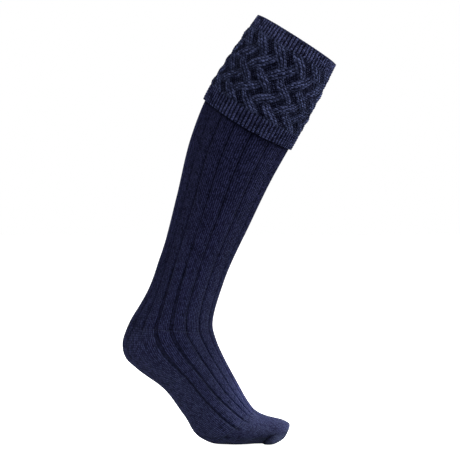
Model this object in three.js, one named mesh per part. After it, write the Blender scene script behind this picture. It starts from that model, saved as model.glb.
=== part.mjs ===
// A knee-high shooting sock with a turned-down cuff, in the form it has when worn on tiptoe.
// Millimetres, +Z up. The origin is the middle of the leg opening, +X is the way the toe points.
import * as THREE from "three";

// Driving dimensions of the leg
const legDrop = 345; // from the opening down to the ankle
const legLean = 151; // from the opening back to the ankle
const calfDepth = 119; // back to front, square to the leg, inside the cuff
const calfWidth = 108; // side to side, inside the cuff
const legWall = 2.2;

// Driving dimensions of the heel, foot and toe
const footDrop = 160; // from the ankle down to the ground
const footReach = 139; // from the ankle forward to the tip of the toe
const heelDepth = 118; // from the point of the heel to the front of the ankle
const heelWidth = 70;
const footDepth = 79; // instep to sole, at the middle of the foot
const ballWidth = 96;
const heelWall = 2.6;
const soleWall = 2.6;
const toeWall = 2.4;
const toeSquareness = 2.7; // 2 would round the toe off as a plain ellipse

// Driving dimensions of the cuff
const cuffHeight = 123; // along the leg, from the fold to the hem
const foldBandHeight = 24;
const edgeBandHeight = 19;
const bandWall = 3;
const bandRibDepth = 0.8;
const hemDip = 5.5; // how much lower the hem hangs at the sides than at the back and front
const foldTurn = 6; // depth of the fold, from its crest to where the leg begins
const strandWidth = 12;
const strandRise = 2.7; // from the recessed ground to the top of a strand that passes over
const underShare = 0.44; // the share of that height that a strand keeps where it passes under
const groundWall = 1.3;

// Ribs and repeats of the knit
const ribCount = 17; // wide ribs round the leg, with one on the middle of the back
const ribDepth = 1;
const bandRibCount = 78; // narrow ribs round each band of the cuff
const latticeRepeats = 13; // strands that lean each way
const crossingRows = 5; // rows of crossings between the two bands
const latticeTurn = -2.5; // degrees from the middle of the back to a crossing of the top row
const crowding = 18.5; // degrees by which the wide ribs sit closer at the back
const backSwing = 0.25; // how much more a rib swings near the back than near the front

// Clearances
const seamGap = 0.4; // between two pieces that are knitted together
const cuffGap = 0.4; // between the leg and the cuff that hangs round it

// Fineness of the facets
const insidePoints = 34; // round the inside of the leg
const toePoints = 32; // round the outside of the toe
const toeInsidePoints = 24;
const cuffInsidePoints = 52; // round the inside of the cuff
const underSteps = 18; // round the outside of the heel and sole, from side seam to side seam
const underInsideSteps = 12;
const instepInsideSteps = 16;
const coveredRows = 3; // down the leg where the cuff covers it
const calfRows = 8; // from the hem to the ankle
const legInsideRows = 8;
const heelRows = 6;
const footRows = 8;
const toeRows = 4; // from the seam to where the toe rounds off
const tipRows = 6;
const latticePoints = 6; // round one repeat of the lattice
const latticeInsideRows = 4;

const fullTurn = 360;
const quarterTurn = 90;
const radians = Math.PI / 180;

// Sections from the opening to the toe. Places and sizes are shares of the named sizes of the stretch.
// ahead and down give the middle, deep the chord from back to front, wide the chord from side to side.
// tilt is how far the front of the chord lies below its back, in degrees.
// flat moves the widest line towards the sole, as a share of half the depth.
// swing turns the ribs at the sides towards the front, in degrees, where the heel and sole push them.
const legSections = [
  { name: "opening", ahead: 0, down: 0, deep: 0.92, wide: 0.94, tilt: 32.6, flat: 0, swing: 0 },
  { name: "mid cuff", ahead: -0.2, down: 0.145, deep: 0.995, wide: 1, tilt: 31.5, flat: 0, swing: 0 },
  { name: "hem", ahead: -0.404, down: 0.299, deep: 1.02, wide: 1, tilt: 30.5, flat: 0, swing: 0 },
  { name: "calf", ahead: -0.542, down: 0.428, deep: 0.96, wide: 0.95, tilt: 27.8, flat: 0, swing: 0 },
  { name: "low calf", ahead: -0.694, down: 0.618, deep: 0.826, wide: 0.82, tilt: 22, flat: 0, swing: 0 },
  { name: "shin", ahead: -0.868, down: 0.83, deep: 0.723, wide: 0.68, tilt: 22, flat: 0, swing: 1.5 },
  { name: "ankle", ahead: -1, down: 1, deep: 0.805, wide: 0.64, tilt: 16, flat: 0, swing: 8 },
];
const heelSections = [
  { name: "heel top", ahead: -0.047, down: 0.103, deep: 0.92, wide: 0.98, tilt: 4.7, flat: 0, swing: 13.5 },
  { name: "heel point", ahead: -0.063, down: 0.206, deep: 1, wide: 1, tilt: -4.2, flat: 0, swing: 21 },
  { name: "heel turn", ahead: -0.042, down: 0.27, deep: 0.99, wide: 1, tilt: -9.3, flat: 0, swing: 23.8 },
  { name: "heel under", ahead: 0.012, down: 0.325, deep: 0.912, wide: 0.96, tilt: -14.4, flat: 0, swing: 23 },
];
const footSections = [
  { name: "heel end", ahead: 0.144, down: 0.436, deep: 1.11, wide: 0.76, tilt: -24.3, flat: 0, swing: 21 },
  { name: "arch", ahead: 0.309, down: 0.647, deep: 1, wide: 0.84, tilt: -33, flat: 0.06, swing: 29.5 },
  { name: "ball", ahead: 0.436, down: 0.816, deep: 0.953, wide: 0.97, tilt: -35.5, flat: 0.16, swing: 46 },
  { name: "toe seam", ahead: 0.513, down: 0.861, deep: 0.85, wide: 1, tilt: -38.6, flat: 0.24, swing: 50 },
  { name: "toe root", ahead: 0.602, down: 0.88, deep: 0.722, wide: 0.99, tilt: -41.8, flat: 0.28, swing: 50 },
  { name: "toes", ahead: 0.846, down: 0.904, deep: 0.475, wide: 0.86, tilt: -57.7, flat: 0.2, swing: 30 },
  { name: "toe front", ahead: 0.931, down: 0.913, deep: 0.44, wide: 0.8, tilt: -62.2, flat: 0.1, swing: 20 },
  { name: "tip", ahead: 1, down: 0.908, deep: 0.4, wide: 0.76, tilt: -64, flat: 0, swing: 12 },
];

function sized(row, start, sizes) {
  return {
    name: row.name,
    x: start.x + row.ahead * sizes.reach,
    z: start.z - row.down * sizes.drop,
    halfDepth: (row.deep * sizes.depth) / 2,
    halfWidth: (row.wide * sizes.width) / 2,
    tilt: row.tilt,
    flat: row.flat,
    swing: row.swing,
  };
}

// Every section in millimetres, with its distance along the middle line of the sock.
function layOutSections() {
  const legSizes = { reach: legLean, drop: legDrop, depth: calfDepth, width: calfWidth };
  const heelSizes = { reach: footReach, drop: footDrop, depth: heelDepth, width: heelWidth };
  const footSizes = { reach: footReach, drop: footDrop, depth: footDepth, width: ballWidth };
  const opening = { x: 0, z: 0 };
  const leg = legSections.map((row) => sized(row, opening, legSizes));
  const ankle = leg[leg.length - 1];
  const heel = heelSections.map((row) => sized(row, ankle, heelSizes));
  const foot = footSections.map((row) => sized(row, ankle, footSizes));
  const all = [...leg, ...heel, ...foot];
  let distance = 0;
  all.forEach((section, index) => {
    if (index > 0) {
      distance += Math.hypot(section.x - all[index - 1].x, section.z - all[index - 1].z);
    }
    section.distance = distance;
  });
  return all;
}

const sections = layOutSections();
const tipDistance = sections[sections.length - 1].distance;
const roundingStart = distanceOf("toes");

function distanceOf(name) {
  return sections.find((section) => section.name === name).distance;
}

// The rate at which one value changes with distance at a section, from its two neighbours.
function slopeAt(index, key) {
  const before = sections[Math.max(index - 1, 0)];
  const here = sections[index];
  const after = sections[Math.min(index + 1, sections.length - 1)];
  const backStep = here.distance - before.distance;
  const nextStep = after.distance - here.distance;
  const backSlope = backStep > 0 ? (here[key] - before[key]) / backStep : 0;
  const nextSlope = nextStep > 0 ? (after[key] - here[key]) / nextStep : 0;
  return (backStep * nextSlope + nextStep * backSlope) / (backStep + nextStep);
}

// One value of the section at any distance, as a smooth curve through the table.
function smoothValue(distance, key) {
  const last = sections.length - 2;
  const found = sections.findIndex((section) => section.distance > distance) - 1;
  const index = found < 0 ? (distance <= 0 ? 0 : last) : found;
  const from = sections[index];
  const to = sections[index + 1];
  const step = to.distance - from.distance;
  const share = (distance - from.distance) / step;
  const rise = to[key] - from[key];
  const startSlope = slopeAt(index, key) * step;
  const endSlope = slopeAt(index + 1, key) * step;
  const square = share * share;
  const cube = square * share;
  return (
    from[key] +
    rise * (3 * square - 2 * cube) +
    startSlope * (cube - 2 * square + share) +
    endSlope * (cube - square)
  );
}

// How much of its full size a section keeps, where the toe rounds off to its tip.
function toeRounding(distance) {
  const share = Math.max(0, (distance - roundingStart) / (tipDistance - roundingStart));
  return Math.pow(Math.max(0, 1 - Math.pow(share, toeSquareness)), 1 / toeSquareness);
}

// A point of the sock's form. angle is 0 at the back, 180 at the front, in degrees.
function formPoint(distance, angle) {
  const keep = toeRounding(distance);
  const halfDepth = smoothValue(distance, "halfDepth") * keep;
  const halfWidth = smoothValue(distance, "halfWidth") * keep;
  const tilt = smoothValue(distance, "tilt") * radians;
  const sine = Math.sin(angle * radians);
  const along = -Math.cos(angle * radians) - smoothValue(distance, "flat") * sine * sine;
  return new THREE.Vector3(
    smoothValue(distance, "x") + along * halfDepth * Math.cos(tilt),
    -sine * halfWidth,
    smoothValue(distance, "z") - along * halfDepth * Math.sin(tilt),
  );
}

// The directions along the sock, round it and out of it, at a point of its form.
function directionsAt(distance, angle) {
  const step = 0.2;
  const from = Math.min(distance, tipDistance - 2 * step) - step;
  const along = formPoint(from + 2 * step, angle).sub(formPoint(from, angle)).normalize();
  const round = formPoint(from + step, angle + step).sub(formPoint(from + step, angle - step)).normalize();
  const out = new THREE.Vector3().crossVectors(along, round).normalize();
  return { along, round, out };
}

// A point at a height out of the form, shifted along and round the sock to leave a seam's gap.
function raisedPoint(distance, angle, height, alongShift = 0, roundShift = 0) {
  const { along, round, out } = directionsAt(distance, angle);
  return formPoint(distance, angle)
    .addScaledVector(out, height)
    .addScaledVector(along, alongShift)
    .addScaledVector(round, roundShift);
}

// The angle of a stitch column of the leg and foot. turn counts from 0 at the back to 1.
function ribAngle(distance, turn) {
  const half = turn <= 0.5 ? 2 * turn : 2 * (1 - turn);
  const plain = (fullTurn / 2) * half - crowding * Math.sin(Math.PI * half);
  const push = Math.sin(plain * radians) + backSwing * Math.sin(2 * plain * radians);
  const angle = plain + smoothValue(distance, "swing") * push;
  return turn <= 0.5 ? angle : fullTurn - angle;
}

// Collects the triangles of one closed body.
class Skin {
  constructor() {
    this.corners = [];
  }

  addTriangle(first, second, third) {
    if (first !== second && second !== third && third !== first) {
      this.corners.push(first, second, third);
    }
  }

  // Joins two closed rings of as many points. Each pair of facets creases along its higher diagonal.
  joinRelief(upper, lower, upperHeights, lowerHeights) {
    upper.forEach((here, index) => {
      const next = (index + 1) % upper.length;
      const falling = upperHeights[index] + lowerHeights[next];
      const rising = lowerHeights[index] + upperHeights[next];
      if (falling > rising) {
        this.addTriangle(here, lower[index], lower[next]);
        this.addTriangle(here, lower[next], upper[next]);
      } else {
        this.addTriangle(here, lower[index], upper[next]);
        this.addTriangle(upper[next], lower[index], lower[next]);
      }
    });
  }

  // Joins two rows of points, which may differ in number. A closed row runs back to its start.
  join(upper, lower, closed) {
    const upperSteps = closed ? upper.length : upper.length - 1;
    const lowerSteps = closed ? lower.length : lower.length - 1;
    let i = 0;
    let j = 0;
    while (i < upperSteps || j < lowerSteps) {
      const upperNext = upper[(i + 1) % upper.length];
      const lowerNext = lower[(j + 1) % lower.length];
      const upperHere = upper[i % upper.length];
      const lowerHere = lower[j % lower.length];
      if (j >= lowerSteps || (i < upperSteps && (i + 1) * lowerSteps <= (j + 1) * upperSteps)) {
        this.addTriangle(upperHere, lowerHere, upperNext);
        i += 1;
      } else {
        this.addTriangle(upperHere, lowerHere, lowerNext);
        j += 1;
      }
    }
  }

  geometry() {
    const made = new THREE.BufferGeometry().setFromPoints(this.corners);
    made.computeVertexNormals();
    return made;
  }
}

// A tube made of closed rings that run down its outside and back up its inside.
function tubeGeometry(rings) {
  const skin = new Skin();
  rings.forEach((ring, index) => skin.join(ring, rings[(index + 1) % rings.length], true));
  return skin.geometry();
}

// A pocket made of closed rings from its inner tip out to its edge and on to its outer tip.
function pocketGeometry(rings) {
  const skin = new Skin();
  for (let index = 0; index + 1 < rings.length; index += 1) {
    skin.join(rings[index], rings[index + 1], true);
  }
  return skin.geometry();
}

// A curved panel with an outer and an inner face, each a row of points at each distance.
function panelGeometry(outerRows, innerRows) {
  const skin = new Skin();
  const lastRow = outerRows.length - 1;
  const edge = (rows, row, end) => rows[row][end ? rows[row].length - 1 : 0];
  for (let row = 0; row < lastRow; row += 1) {
    skin.join(outerRows[row], outerRows[row + 1], false);
    skin.join(innerRows[row + 1], innerRows[row], false);
    skin.join([edge(innerRows, row, false), edge(outerRows, row, false)],
      [edge(innerRows, row + 1, false), edge(outerRows, row + 1, false)], false);
    skin.join([edge(outerRows, row, true), edge(innerRows, row, true)],
      [edge(outerRows, row + 1, true), edge(innerRows, row + 1, true)], false);
  }
  skin.join(innerRows[0], outerRows[0], false);
  skin.join(outerRows[lastRow], innerRows[lastRow], false);
  return skin.geometry();
}

// Values spread evenly from one to another, both included.
function spread(from, to, steps) {
  return Array.from({ length: steps + 1 }, (unused, index) => from + ((to - from) * index) / steps);
}

// One ring of the leg or toe at a plain height.
function plainRing(distance, height, count, alongShift = 0) {
  return Array.from({ length: count }, (unused, index) =>
    raisedPoint(distance, (fullTurn * index) / count, height, alongShift));
}

// The outline of one wide rib. across is a share of its pitch, sunk a share of its depth.
const ribOutline = [
  { across: 0, sunk: 1 },
  { across: 0.13, sunk: 0.12 },
  { across: 0.5, sunk: 0 },
  { across: 0.87, sunk: 0.12 },
];

// The turn at which a wide rib starts, at the groove on its back side.
function ribStart(rib) {
  return (rib + 0.5) / ribCount;
}

function ribbedRing(distance, alongShift = 0) {
  const ring = [];
  for (let rib = 0; rib < ribCount; rib += 1) {
    for (const point of ribOutline) {
      const turn = (ribStart(rib) + point.across / ribCount) % 1;
      const angle = ribAngle(distance, turn);
      ring.push(raisedPoint(distance, angle, -point.sunk * ribDepth, alongShift));
    }
  }
  return ring;
}

// The ribs that run on over the instep lie between two grooves at the sides of the ankle.
const instepFirstRib = Math.floor(ribCount / 5);
const instepRibs = ribCount - 1 - 2 * instepFirstRib;
const sideTurn = ribStart(instepFirstRib);

const heelTop = distanceOf("heel top");
const heelEnd = distanceOf("heel end");
const toeStart = distanceOf("toe root");
const heelStations = spread(heelTop, heelEnd, heelRows);
const footStations = spread(heelEnd, toeStart, footRows);

function legGeometry() {
  const covered = spread(foldTurn, cuffHeight, coveredRows);
  const calf = spread(cuffHeight, distanceOf("ankle"), calfRows).slice(1);
  const outerStations = [...covered, ...calf, heelTop];
  const innerStations = spread(heelTop, foldTurn, legInsideRows);
  const shiftAt = (distance) => {
    if (distance === foldTurn) return seamGap;
    return distance === heelTop ? -seamGap / 2 : 0;
  };
  const outside = outerStations.map((distance) => ribbedRing(distance, shiftAt(distance)));
  const inside = innerStations.map((distance) =>
    plainRing(distance, -legWall, insidePoints, shiftAt(distance)));
  return tubeGeometry([...outside, ...inside]);
}

// The shift that opens the seam's gap at the first and last row of a panel.
function rowShift(row, lastRow) {
  if (row === 0) return seamGap / 2;
  return row === lastRow ? -seamGap / 2 : 0;
}

// A row of a panel. points hold the turn and height of each, and the row's ends leave the side seams.
function panelRow(distance, points, alongShift) {
  return points.map((point, index) => {
    let roundShift = 0;
    if (index === 0) roundShift = seamGap / 2;
    if (index === points.length - 1) roundShift = -seamGap / 2;
    const angle = ribAngle(distance, ((point.turn % 1) + 1) % 1);
    return raisedPoint(distance, angle, point.height, alongShift, roundShift);
  });
}

// A plain panel under the foot, from side seam to side seam round the back or sole.
function underPanel(stations, wall) {
  const face = (steps, height) =>
    spread(-sideTurn, sideTurn, steps).map((turn) => ({ turn, height }));
  const rows = (points) => stations.map((distance, row) =>
    panelRow(distance, points, rowShift(row, stations.length - 1)));
  return panelGeometry(rows(face(underSteps, 0)), rows(face(underInsideSteps, -wall)));
}

function instepGeometry() {
  const outerPoints = [];
  for (let rib = 0; rib < instepRibs; rib += 1) {
    for (const point of ribOutline) {
      const turn = ribStart(instepFirstRib + rib) + point.across / ribCount;
      outerPoints.push({ turn, height: -point.sunk * ribDepth });
    }
  }
  outerPoints.push({ turn: 1 - sideTurn, height: -ribDepth });
  const innerPoints = spread(sideTurn, 1 - sideTurn, instepInsideSteps)
    .map((turn) => ({ turn, height: -legWall }));
  const stations = [...heelStations, ...footStations.slice(1)];
  const rows = (points) => stations.map((distance, row) =>
    panelRow(distance, points, rowShift(row, stations.length - 1)));
  return panelGeometry(rows(outerPoints), rows(innerPoints));
}

function toeGeometry() {
  const shift = seamGap / 2;
  const straight = spread(toeStart, roundingStart, toeRows);
  const roundLength = tipDistance - roundingStart;
  const rounded = spread(0, quarterTurn, tipRows).slice(1, -1).map((turn) =>
    roundingStart + roundLength * Math.sin(turn * radians));
  const stations = [...straight, ...rounded];
  const tip = formPoint(tipDistance, 0);
  const innerTip = formPoint(tipDistance, 0);
  innerTip.x -= toeWall;
  const outside = stations.map((distance, row) =>
    plainRing(distance, 0, toePoints, row === 0 ? shift : 0));
  const inside = stations.map((distance, row) =>
    plainRing(distance, -toeWall, toeInsidePoints, row === 0 ? shift : 0));
  return pocketGeometry([[innerTip], ...inside.reverse(), ...outside, [tip]]);
}

// A point of the cuff. down is the distance from the fold, and the hem's dip grows with it.
function cuffPoint(down, angle, height, alongShift = 0) {
  const sine = Math.sin(angle * radians);
  const dip = hemDip * Math.max(0, down / cuffHeight) * sine * sine;
  return raisedPoint(down + dip, angle, height, alongShift);
}

function cuffRing(down, height, count, alongShift = 0) {
  return Array.from({ length: count }, (unused, index) =>
    cuffPoint(down, (fullTurn * index) / count, height, alongShift));
}

// A ring with the narrow ribs of a band, high and low in turn.
function narrowRibRing(down, height, alongShift = 0) {
  return Array.from({ length: 2 * bandRibCount }, (unused, index) => {
    const sunk = index % 2 === 0 ? 0 : bandRibDepth;
    return cuffPoint(down, (fullTurn * index) / (2 * bandRibCount), height - sunk, alongShift);
  });
}

const bandTop = cuffGap + bandWall;
const latticeStart = foldBandHeight;
const latticeEnd = cuffHeight - edgeBandHeight;

function foldBandGeometry() {
  const crestHeight = (bandTop - legWall) / 2;
  const shoulder = foldTurn / 2;
  const shift = -seamGap / 2;
  return tubeGeometry([
    cuffRing(0, crestHeight, bandRibCount),
    narrowRibRing(shoulder, bandTop),
    narrowRibRing(latticeStart, bandTop, shift),
    cuffRing(latticeStart, cuffGap, cuffInsidePoints, shift),
    cuffRing(foldTurn, cuffGap, cuffInsidePoints),
    cuffRing(foldTurn, -legWall, cuffInsidePoints),
    cuffRing(shoulder, -legWall, cuffInsidePoints),
  ]);
}

function edgeBandGeometry() {
  const welt = bandWall / 2;
  const shift = seamGap / 2;
  return tubeGeometry([
    narrowRibRing(latticeEnd, bandTop, shift),
    narrowRibRing(cuffHeight - welt, bandTop),
    cuffRing(cuffHeight, cuffGap + welt, bandRibCount),
    cuffRing(cuffHeight - welt, cuffGap, cuffInsidePoints),
    cuffRing(latticeEnd, cuffGap, cuffInsidePoints, shift),
  ]);
}

// The height of the woven strands above the ground. A strand's crown is round, and it dips to pass under.
function strandHeight(down, angle) {
  const firstCrossing = latticeStart + (latticeEnd - latticeStart) / (2 * crossingRows);
  const rowPitch = (latticeEnd - latticeStart) / crossingRows;
  const repeatTurn = fullTurn / latticeRepeats;
  const repeatLength = (Math.PI * (calfDepth + calfWidth)) / 2 / latticeRepeats;
  const side = (angle - latticeTurn) / repeatTurn;
  const fall = (down - firstCrossing) / (2 * rowPitch);
  const slant = Math.hypot(2 * rowPitch, repeatLength);
  const halfStrand = strandWidth / 2 / ((2 * rowPitch * repeatLength) / slant);
  const overUnder = Math.cos(2 * Math.PI * fall);
  const crown = (place, lift) => {
    const off = Math.abs(place - Math.round(place)) / halfStrand;
    const kept = (1 + underShare + (1 - underShare) * lift) / 2;
    return off < 1 ? strandRise * kept * Math.sqrt(1 - off * off) : 0;
  };
  return Math.max(crown(side - fall, overUnder), crown(side + fall, -overUnder));
}

function latticePanelGeometry() {
  const stepsPerRow = latticePoints / 2; // so that each strand runs from corner to corner of the facets
  const count = latticeRepeats * latticePoints;
  const downs = spread(latticeStart, latticeEnd, crossingRows * stepsPerRow);
  const angles = spread(latticeTurn, latticeTurn + fullTurn, count).slice(0, -1);
  const heights = downs.map((down) => angles.map((angle) => strandHeight(down, angle)));
  const outside = downs.map((down, row) =>
    angles.map((angle, column) => {
      const height = cuffGap + groundWall + heights[row][column];
      return cuffPoint(down, angle, height, rowShift(row, downs.length - 1));
    }));
  const inside = spread(latticeEnd, latticeStart, latticeInsideRows).map((down, row) =>
    cuffRing(down, cuffGap, cuffInsidePoints, -rowShift(row, latticeInsideRows)));
  const skin = new Skin();
  for (let row = 0; row + 1 < outside.length; row += 1) {
    skin.joinRelief(outside[row], outside[row + 1], heights[row], heights[row + 1]);
  }
  const turned = [outside[outside.length - 1], ...inside, outside[0]];
  for (let row = 0; row + 1 < turned.length; row += 1) {
    skin.join(turned[row], turned[row + 1], true);
  }
  return skin.geometry();
}

const navyWool = (name, color) =>
  new THREE.MeshStandardMaterial({ name, color, roughness: 0.9, metalness: 0 });
const legWool = navyWool("leg_wool", 0x1a1b2f);
const cuffWool = navyWool("cuff_wool", 0x1c1f32);
const footWool = navyWool("foot_wool", 0x262b42);

const sock = new THREE.Group();
function add(name, geometry, material) {
  const piece = new THREE.Mesh(geometry, material);
  piece.name = name;
  sock.add(piece);
}

add("fold_band", foldBandGeometry(), cuffWool);
add("lattice_panel", latticePanelGeometry(), cuffWool);
add("edge_band", edgeBandGeometry(), cuffWool);
add("leg", legGeometry(), legWool);
add("instep", instepGeometry(), legWool);
add("heel", underPanel(heelStations, heelWall), footWool);
add("sole", underPanel(footStations, soleWall), footWool);
add("toe", toeGeometry(), footWool);

export default sock;
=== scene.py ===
import math
import bpy
import numpy as np
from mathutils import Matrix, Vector


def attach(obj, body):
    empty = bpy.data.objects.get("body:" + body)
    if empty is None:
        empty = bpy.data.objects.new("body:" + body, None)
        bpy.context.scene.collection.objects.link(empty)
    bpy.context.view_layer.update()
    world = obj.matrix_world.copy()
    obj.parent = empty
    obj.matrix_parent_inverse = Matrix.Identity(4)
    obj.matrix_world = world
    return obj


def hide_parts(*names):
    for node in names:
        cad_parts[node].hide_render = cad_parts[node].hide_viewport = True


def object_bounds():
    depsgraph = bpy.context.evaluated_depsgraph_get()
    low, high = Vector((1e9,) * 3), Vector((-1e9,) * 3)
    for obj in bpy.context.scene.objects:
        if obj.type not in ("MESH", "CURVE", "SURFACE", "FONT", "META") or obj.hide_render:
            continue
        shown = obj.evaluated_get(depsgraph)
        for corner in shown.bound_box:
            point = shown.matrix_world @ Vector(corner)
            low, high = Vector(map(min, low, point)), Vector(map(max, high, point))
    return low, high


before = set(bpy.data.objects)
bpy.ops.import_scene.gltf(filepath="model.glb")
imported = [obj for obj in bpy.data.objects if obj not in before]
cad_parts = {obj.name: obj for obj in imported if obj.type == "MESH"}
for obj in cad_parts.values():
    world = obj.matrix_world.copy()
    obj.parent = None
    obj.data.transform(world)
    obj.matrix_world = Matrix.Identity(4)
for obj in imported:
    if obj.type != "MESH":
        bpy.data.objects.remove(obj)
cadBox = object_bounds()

print("frame loaded")

# the studio: all in metres, the sock's mouth is at the origin and its toe points to +X
studio = {
    "photoSize": 460,            # pixels each way
    "metresPerPixel": 0.00125,
    "mouthPixel": (297, 40),     # where the middle of the mouth lies in the photo
    "cameraDistance": 3.0,
    "farthest": 60,              # how far off the camera still sees
    "cameraRise": 2.0,           # degrees above level
    "sensor": 36.0,
    "floorGap": 0.0005,
    "floorSize": 14.0,
    "surround": 1.0,             # what the camera sees behind the sock
    "surroundLight": 0.30,       # what lights the sock from all round
    "floorGlow": 1.0,            # how bright the camera sees the floor
    "floorColour": 0.70,         # how much light the floor sends back to the sock
}

# place, aim, size each way, watts
sockMiddle = (-0.1, 0, -0.25)
areaLamps = {
    "topLight": ((1.2, -0.6, 1.5), sockMiddle, (0.7, 0.7), 42),
    "frontLight": ((0.2, -2.2, 0.6), sockMiddle, (1.0, 1.0), 11.5),
    "leftLight": ((-1.8, -0.6, 0.3), sockMiddle, (0.7, 1.0), 12),
    "rightRimLight": ((0.9, 1.8, 0.3), sockMiddle, (0.6, 1.0), 40),
    "leftRimLight": ((-1.4, 1.2, -0.2), sockMiddle, (0.5, 1.0), 34),
}
# place, aim, cone in degrees, softness, watts, tint
spotLamps = {
    "edgeSpot": ((1.3, 1.3, 1.3), (-0.05, 0, -0.2), 24, 0.2, 260, (1, 1, 1)),
    "instepSpot": ((0.85, 0.28, 0.10), (-0.075, 0, -0.415), 18, 0.08, 40, (1, 1, 1)),
    "toeSpot": ((0.75, 0.05, -0.49), (0.0, 0, -0.495), 13, 0.03, 175, (1.0, 1.06, 0.95)),
    "cuffSpot": ((1.7, 0.15, 0.45), (0.03, 0, -0.02), 8, 0.08, 120, (1, 1, 1)),
    "footSpot": ((0.0, -1.6, -0.15), (-0.11, 0, -0.44), 13, 0.15, 102, (1.0, 1.14, 0.92)),
}

def plug(tree, socket, value):
    if isinstance(value, (int, float)):
        socket.default_value = value
    else:
        tree.links.new(value, socket)

def calc(tree, operation, first, second=0.0, third=0.0):
    node = tree.nodes.new("ShaderNodeMath")
    node.operation = operation
    for socket, value in zip(node.inputs, (first, second, third)):
        plug(tree, socket, value)
    return node.outputs[0]

def pixelPlace(pixelX, pixelY):
    x = (pixelX - studio["mouthPixel"][0]) * studio["metresPerPixel"]
    z = (studio["mouthPixel"][1] - pixelY) * studio["metresPerPixel"]
    return Vector((x, 0.0, z))

def makeCamera():
    middle = studio["photoSize"] / 2
    aim = pixelPlace(middle, middle)
    rise = math.radians(studio["cameraRise"])
    away = Vector((0.0, -math.cos(rise), math.sin(rise))) * studio["cameraDistance"]
    lens = bpy.data.cameras.new("studioCamera")
    lens.sensor_width = studio["sensor"]
    frameWidth = studio["photoSize"] * studio["metresPerPixel"]
    lens.lens = studio["sensor"] * studio["cameraDistance"] / frameWidth
    lens.clip_end = studio["farthest"]
    camera = bpy.data.objects.new("studioCamera", lens)
    camera.location = aim + away
    camera.rotation_euler = (-away).to_track_quat("-Z", "Y").to_euler()
    bpy.context.scene.collection.objects.link(camera)
    bpy.context.scene.camera = camera

def hangLamp(lamp, place, aim, power):
    lamp.energy = power
    holder = bpy.data.objects.new(lamp.name, lamp)
    holder.location = place
    holder.rotation_euler = (Vector(aim) - Vector(place)).to_track_quat("-Z", "Y").to_euler()
    bpy.context.scene.collection.objects.link(holder)

def makeLight(name, place, aim, size, power):
    lamp = bpy.data.lights.new(name, "AREA")
    lamp.shape = "RECTANGLE"
    lamp.size, lamp.size_y = size
    hangLamp(lamp, place, aim, power)

def makeSpot(name, place, aim, cone, softness, power, tint):
    lamp = bpy.data.lights.new(name, "SPOT")
    lamp.spot_size = math.radians(cone)
    lamp.spot_blend = 1.0
    lamp.shadow_soft_size = softness
    lamp.color = tint
    hangLamp(lamp, place, aim, power)

def makeStudio():
    scene = bpy.context.scene
    scene.view_settings.view_transform = "Standard"
    world = bpy.data.worlds.new("whiteSurround")
    world.use_nodes = True
    tree = world.node_tree
    path = tree.nodes.new("ShaderNodeLightPath")
    strength = tree.nodes.new("ShaderNodeMix")
    strength.inputs["A"].default_value = studio["surroundLight"]
    strength.inputs["B"].default_value = studio["surround"]
    tree.links.new(path.outputs["Is Camera Ray"], strength.inputs["Factor"])
    background = tree.nodes["Background"]
    background.inputs["Color"].default_value = (1, 1, 1, 1)
    tree.links.new(strength.outputs["Result"], background.inputs["Strength"])
    scene.world = world
    for name, (place, aim, size, power) in areaLamps.items():
        makeLight(name, place, aim, size, power)
    for name, (place, aim, cone, softness, power, tint) in spotLamps.items():
        makeSpot(name, place, aim, cone, softness, power, tint)
    floorHeight = cadBox[0][2] - studio["floorGap"]
    bpy.ops.mesh.primitive_plane_add(size=studio["floorSize"], location=(0, 0, floorHeight))
    floor = bpy.context.object
    floor.name = "floor"
    paint = bpy.data.materials.new("palePaper")
    paint.use_nodes = True
    shader = paint.node_tree.nodes["Principled BSDF"]
    shader.inputs["Base Color"].default_value = (*[studio["floorColour"]] * 3, 1)
    shader.inputs["Roughness"].default_value = 1.0
    shader.inputs["Specular IOR Level"].default_value = 0.0
    shader.inputs["Emission Color"].default_value = (1, 1, 1, 1)
    glow = paint.node_tree.nodes.new("ShaderNodeLightPath")
    level = calc(paint.node_tree, "MULTIPLY", glow.outputs["Is Camera Ray"], studio["floorGlow"])
    paint.node_tree.links.new(level, shader.inputs["Emission Strength"])
    floor.data.materials.append(paint)

makeCamera()
makeStudio()
print("studio ready")

# the sock's form: sections along its middle line, as shares of these sizes
formSizes = {
    "legDrop": 0.345, "legLean": 0.151, "calfDepth": 0.119, "calfWidth": 0.108,
    "footDrop": 0.160, "footReach": 0.139, "heelDepth": 0.118, "heelWidth": 0.070,
    "footDepth": 0.079, "ballWidth": 0.096,
}
# forward, down, depth, width, tilt in degrees, flat, swing of the ribs in degrees
legRows = {
    "opening": (0.0, 0.0, 0.92, 0.94, 32.6, 0.0, 0),
    "midCuff": (-0.2, 0.145, 0.995, 1.0, 31.5, 0.0, 0),
    "hem": (-0.404, 0.299, 1.02, 1.0, 30.5, 0.0, 0),
    "calf": (-0.542, 0.428, 0.96, 0.95, 27.8, 0.0, 0),
    "lowCalf": (-0.694, 0.618, 0.826, 0.82, 22.0, 0.0, 0),
    "shin": (-0.868, 0.83, 0.723, 0.68, 22.0, 0.0, 1.5),
    "ankle": (-1.0, 1.0, 0.805, 0.64, 16.0, 0.0, 8),
}
heelRows = {
    "heelTop": (-0.047, 0.103, 0.92, 0.98, 4.7, 0.0, 13.5),
    "heelPoint": (-0.063, 0.206, 1.0, 1.0, -4.2, 0.0, 21),
    "heelTurn": (-0.042, 0.27, 0.99, 1.0, -9.3, 0.0, 23.8),
    "heelUnder": (0.012, 0.325, 0.912, 0.96, -14.4, 0.0, 23),
}
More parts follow.
